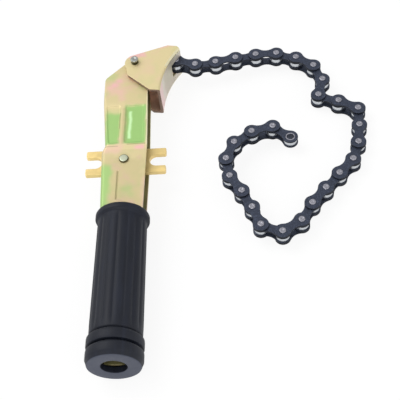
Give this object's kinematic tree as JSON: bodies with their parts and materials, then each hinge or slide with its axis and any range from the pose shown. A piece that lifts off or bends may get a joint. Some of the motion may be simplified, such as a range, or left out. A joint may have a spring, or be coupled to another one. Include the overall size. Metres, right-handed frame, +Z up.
{
  "type": "chain oil filter wrench",
  "caption": "Chain oil filter wrench: folded steel handle with a rubber grip, a forked hook plate, a pivoting jaw and a length of roller chain.",
  "frame": {"origin": "centre of the bounding box's base, on the floor that the wrench lies on", "axes": "+Y towards the head of the handle, +X towards the chain, +Z up from the floor"},
  "size_m": [0.1748, 0.21, 0.0303],
  "materials": {
    "chromated_steel": "zinc plate with a yellow, faintly rainbow chromate film",
    "yellow_steel": "zinc plate with a deeper yellow chromate film",
    "black_rubber": "moulded, satin",
    "blackened_steel": "blue-black, lightly oiled",
    "bright_steel": "bare, satin"
  },
  "bodies": {
    "handle": {"handle_channel": "chromated_steel", "grip": "black_rubber", "hook_plate": "yellow_steel", "hook_rivet": "bright_steel", "hook_spacer_upper": "bright_steel", "hook_spacer_lower": "bright_steel", "pivot_rivet": "bright_steel", "pivot_bush": "bright_steel", "pivot_washer_upper": "bright_steel", "pivot_washer_lower": "bright_steel"},
    "jaw": {"jaw": "chromated_steel"},
    "chain_link_01": {"chain_link_01": "blackened_steel"},
    "chain_link_02": {"chain_link_02": "blackened_steel"},
    "chain_link_03": {"chain_link_03": "blackened_steel"},
    "chain_link_04": {"chain_link_04": "blackened_steel"},
    "chain_link_05": {"chain_link_05": "blackened_steel"},
    "chain_link_06": {"chain_link_06": "blackened_steel"},
    "chain_link_07": {"chain_link_07": "blackened_steel"},
    "chain_link_08": {"chain_link_08": "blackened_steel"},
    "chain_link_09": {"chain_link_09": "blackened_steel"},
    "chain_link_10": {"chain_link_10": "blackened_steel"},
    "chain_link_11": {"chain_link_11": "blackened_steel"},
    "chain_link_12": {"chain_link_12": "blackened_steel"},
    "chain_link_13": {"chain_link_13": "blackened_steel"},
    "chain_link_14": {"chain_link_14": "blackened_steel"},
    "chain_link_15": {"chain_link_15": "blackened_steel"},
    "chain_link_16": {"chain_link_16": "blackened_steel"},
    "chain_link_17": {"chain_link_17": "blackened_steel"},
    "chain_link_18": {"chain_link_18": "blackened_steel"},
    "chain_link_19": {"chain_link_19": "blackened_steel"},
    "chain_link_20": {"chain_link_20": "blackened_steel"},
    "chain_link_21": {"chain_link_21": "blackened_steel"},
    "chain_link_22": {"chain_link_22": "blackened_steel"},
    "chain_link_23": {"chain_link_23": "blackened_steel"},
    "chain_link_24": {"chain_link_24": "blackened_steel"},
    "chain_link_25": {"chain_link_25": "blackened_steel"},
    "chain_link_26": {"chain_link_26": "blackened_steel"},
    "chain_link_27": {"chain_link_27": "blackened_steel"},
    "chain_link_28": {"chain_link_28": "blackened_steel"},
    "chain_link_29": {"chain_link_29": "blackened_steel"},
    "chain_link_30": {"chain_link_30": "blackened_steel"}
  },
  "joints": [
    {"name": "jaw_pivot", "type": "hinge", "parent": "handle", "child": "jaw", "pos_m": [-0.043, 0.09457, 0.01491], "axis": [0.0772, -0.0102, 0.997], "range_deg": [-12, 0]},
    {"name": "chain_pivot", "type": "hinge", "parent": "handle", "child": "chain_link_01", "pos_m": [-0.043, 0.09457, 0.01491], "axis": [0.0772, -0.0102, 0.997], "range_deg": [-1, 60]},
    {"name": "pin_01", "type": "hinge", "parent": "chain_link_01", "child": "chain_link_02", "pos_m": [-0.03046, 0.09635, 0.01396], "axis": [-0.0772, 0.0102, -0.997], "range_deg": [-60, 1]},
    {"name": "pin_02", "type": "hinge", "parent": "chain_link_02", "child": "chain_link_03", "pos_m": [-0.01792, 0.09812, 0.013], "axis": [0.0772, -0.0102, 0.997], "range_deg": [-15, 60]},
    {"name": "pin_03", "type": "hinge", "parent": "chain_link_03", "child": "chain_link_04", "pos_m": [-0.00664, 0.09236, 0.01207], "axis": [-0.0772, 0.0102, -0.997], "range_deg": [-60, 15]},
    {"name": "pin_04", "type": "hinge", "parent": "chain_link_04", "child": "chain_link_05", "pos_m": [0.006, 0.0917, 0.01108], "axis": [0.0772, -0.0102, 0.997], "range_deg": [-15, 60]},
    {"name": "pin_05", "type": "hinge", "parent": "chain_link_05", "child": "chain_link_06", "pos_m": [0.01864, 0.09259, 0.01012], "axis": [-0.0772, 0.0102, -0.997], "range_deg": [-60, 15]},
    {"name": "pin_06", "type": "hinge", "parent": "chain_link_06", "child": "chain_link_07", "pos_m": [0.0313, 0.09259, 0.00913], "axis": [0.0772, -0.0102, 0.997], "range_deg": [-15, 60]},
    {"name": "pin_07", "type": "hinge", "parent": "chain_link_07", "child": "chain_link_08", "pos_m": [0.04384, 0.09083, 0.00814], "axis": [-0.0772, 0.0102, -0.997], "range_deg": [-60, 15]},
    {"name": "pin_08", "type": "hinge", "parent": "chain_link_08", "child": "chain_link_09", "pos_m": [0.05501, 0.08487, 0.00722], "axis": [0.0772, -0.0102, 0.997], "range_deg": [-15, 60]},
    {"name": "pin_09", "type": "hinge", "parent": "chain_link_09", "child": "chain_link_10", "pos_m": [0.06412, 0.07605, 0.00642], "axis": [-0.0772, 0.0102, -0.997], "range_deg": [-60, 20]},
    {"name": "pin_10", "type": "hinge", "parent": "chain_link_10", "child": "chain_link_11", "pos_m": [0.06718, 0.06373, 0.00606], "axis": [0.0772, -0.0102, 0.997], "range_deg": [-25, 60]},
    {"name": "pin_11", "type": "hinge", "parent": "chain_link_11", "child": "chain_link_12", "pos_m": [0.06243, 0.05196, 0.00631], "axis": [-0.0772, 0.0102, -0.997], "range_deg": [-45, 30]},
    {"name": "pin_12", "type": "hinge", "parent": "chain_link_12", "child": "chain_link_13", "pos_m": [0.07305, 0.04505, 0.00542], "axis": [0.0772, -0.0102, 0.997], "range_deg": [-45, 60]},
    {"name": "pin_13", "type": "hinge", "parent": "chain_link_13", "child": "chain_link_14", "pos_m": [0.08288, 0.03706, 0.00457], "axis": [-0.0772, 0.0102, -0.997], "range_deg": [-60, 40]},
    {"name": "pin_14", "type": "hinge", "parent": "chain_link_14", "child": "chain_link_15", "pos_m": [0.0809, 0.02451, 0.0046], "axis": [0.0772, -0.0102, 0.997], "range_deg": [-40, 60]},
    {"name": "pin_15", "type": "hinge", "parent": "chain_link_15", "child": "chain_link_16", "pos_m": [0.07762, 0.01225, 0.00473], "axis": [-0.0772, 0.0102, -0.997], "range_deg": [-60, 30]},
    {"name": "pin_16", "type": "hinge", "parent": "chain_link_16", "child": "chain_link_17", "pos_m": [0.07206, 0.00083, 0.00504], "axis": [0.0772, -0.0102, 0.997], "range_deg": [-25, 60]},
    {"name": "pin_17", "type": "hinge", "parent": "chain_link_17", "child": "chain_link_18", "pos_m": [0.0625, -0.00751, 0.0057], "axis": [-0.0772, 0.0102, -0.997], "range_deg": [-60, 25]},
    {"name": "pin_18", "type": "hinge", "parent": "chain_link_18", "child": "chain_link_19", "pos_m": [0.05309, -0.01601, 0.00634], "axis": [0.0772, -0.0102, 0.997], "range_deg": [-35, 60]},
    {"name": "pin_19", "type": "hinge", "parent": "chain_link_19", "child": "chain_link_20", "pos_m": [0.04382, -0.02467, 0.00697], "axis": [-0.0772, 0.0102, -0.997], "range_deg": [-60, 30]},
    {"name": "pin_20", "type": "hinge", "parent": "chain_link_20", "child": "chain_link_21", "pos_m": [0.03602, -0.03468, 0.00747], "axis": [0.0772, -0.0102, 0.997], "range_deg": [-20, 60]},
    {"name": "pin_21", "type": "hinge", "parent": "chain_link_21", "child": "chain_link_22", "pos_m": [0.02455, -0.04005, 0.0083], "axis": [-0.0772, 0.0102, -0.997], "range_deg": [-55, 20]},
    {"name": "pin_22", "type": "hinge", "parent": "chain_link_22", "child": "chain_link_23", "pos_m": [0.0137, -0.03352, 0.00921], "axis": [0.0772, -0.0102, 0.997], "range_deg": [-20, 35]},
    {"name": "pin_23", "type": "hinge", "parent": "chain_link_23", "child": "chain_link_24", "pos_m": [0.01085, -0.02115, 0.00956], "axis": [-0.0772, 0.0102, -0.997], "range_deg": [-50, 25]},
    {"name": "pin_24", "type": "hinge", "parent": "chain_link_24", "child": "chain_link_25", "pos_m": [0.00694, -0.00907, 0.00998], "axis": [0.0772, -0.0102, 0.997], "range_deg": [-30, 60]},
    {"name": "pin_25", "type": "hinge", "parent": "chain_link_25", "child": "chain_link_26", "pos_m": [0.0018, 0.00253, 0.0105], "axis": [-0.0772, 0.0102, -0.997], "range_deg": [-60, 40]},
    {"name": "pin_26", "type": "hinge", "parent": "chain_link_26", "child": "chain_link_27", "pos_m": [0.00158, 0.01523, 0.01065], "axis": [0.0772, -0.0102, 0.997], "range_deg": [-60, 60]},
    {"name": "pin_27", "type": "hinge", "parent": "chain_link_27", "child": "chain_link_28", "pos_m": [0.00792, 0.02623, 0.01027], "axis": [-0.0772, 0.0102, -0.997], "range_deg": [-60, 60]},
    {"name": "pin_28", "type": "hinge", "parent": "chain_link_28", "child": "chain_link_29", "pos_m": [0.0191, 0.0322, 0.00946], "axis": [0.0772, -0.0102, 0.997], "range_deg": [-60, 60]},
    {"name": "pin_29", "type": "hinge", "parent": "chain_link_29", "child": "chain_link_30", "pos_m": [0.03169, 0.03353, 0.0085], "axis": [-0.0772, 0.0102, -0.997], "range_deg": [-60, 60]}
  ]
}
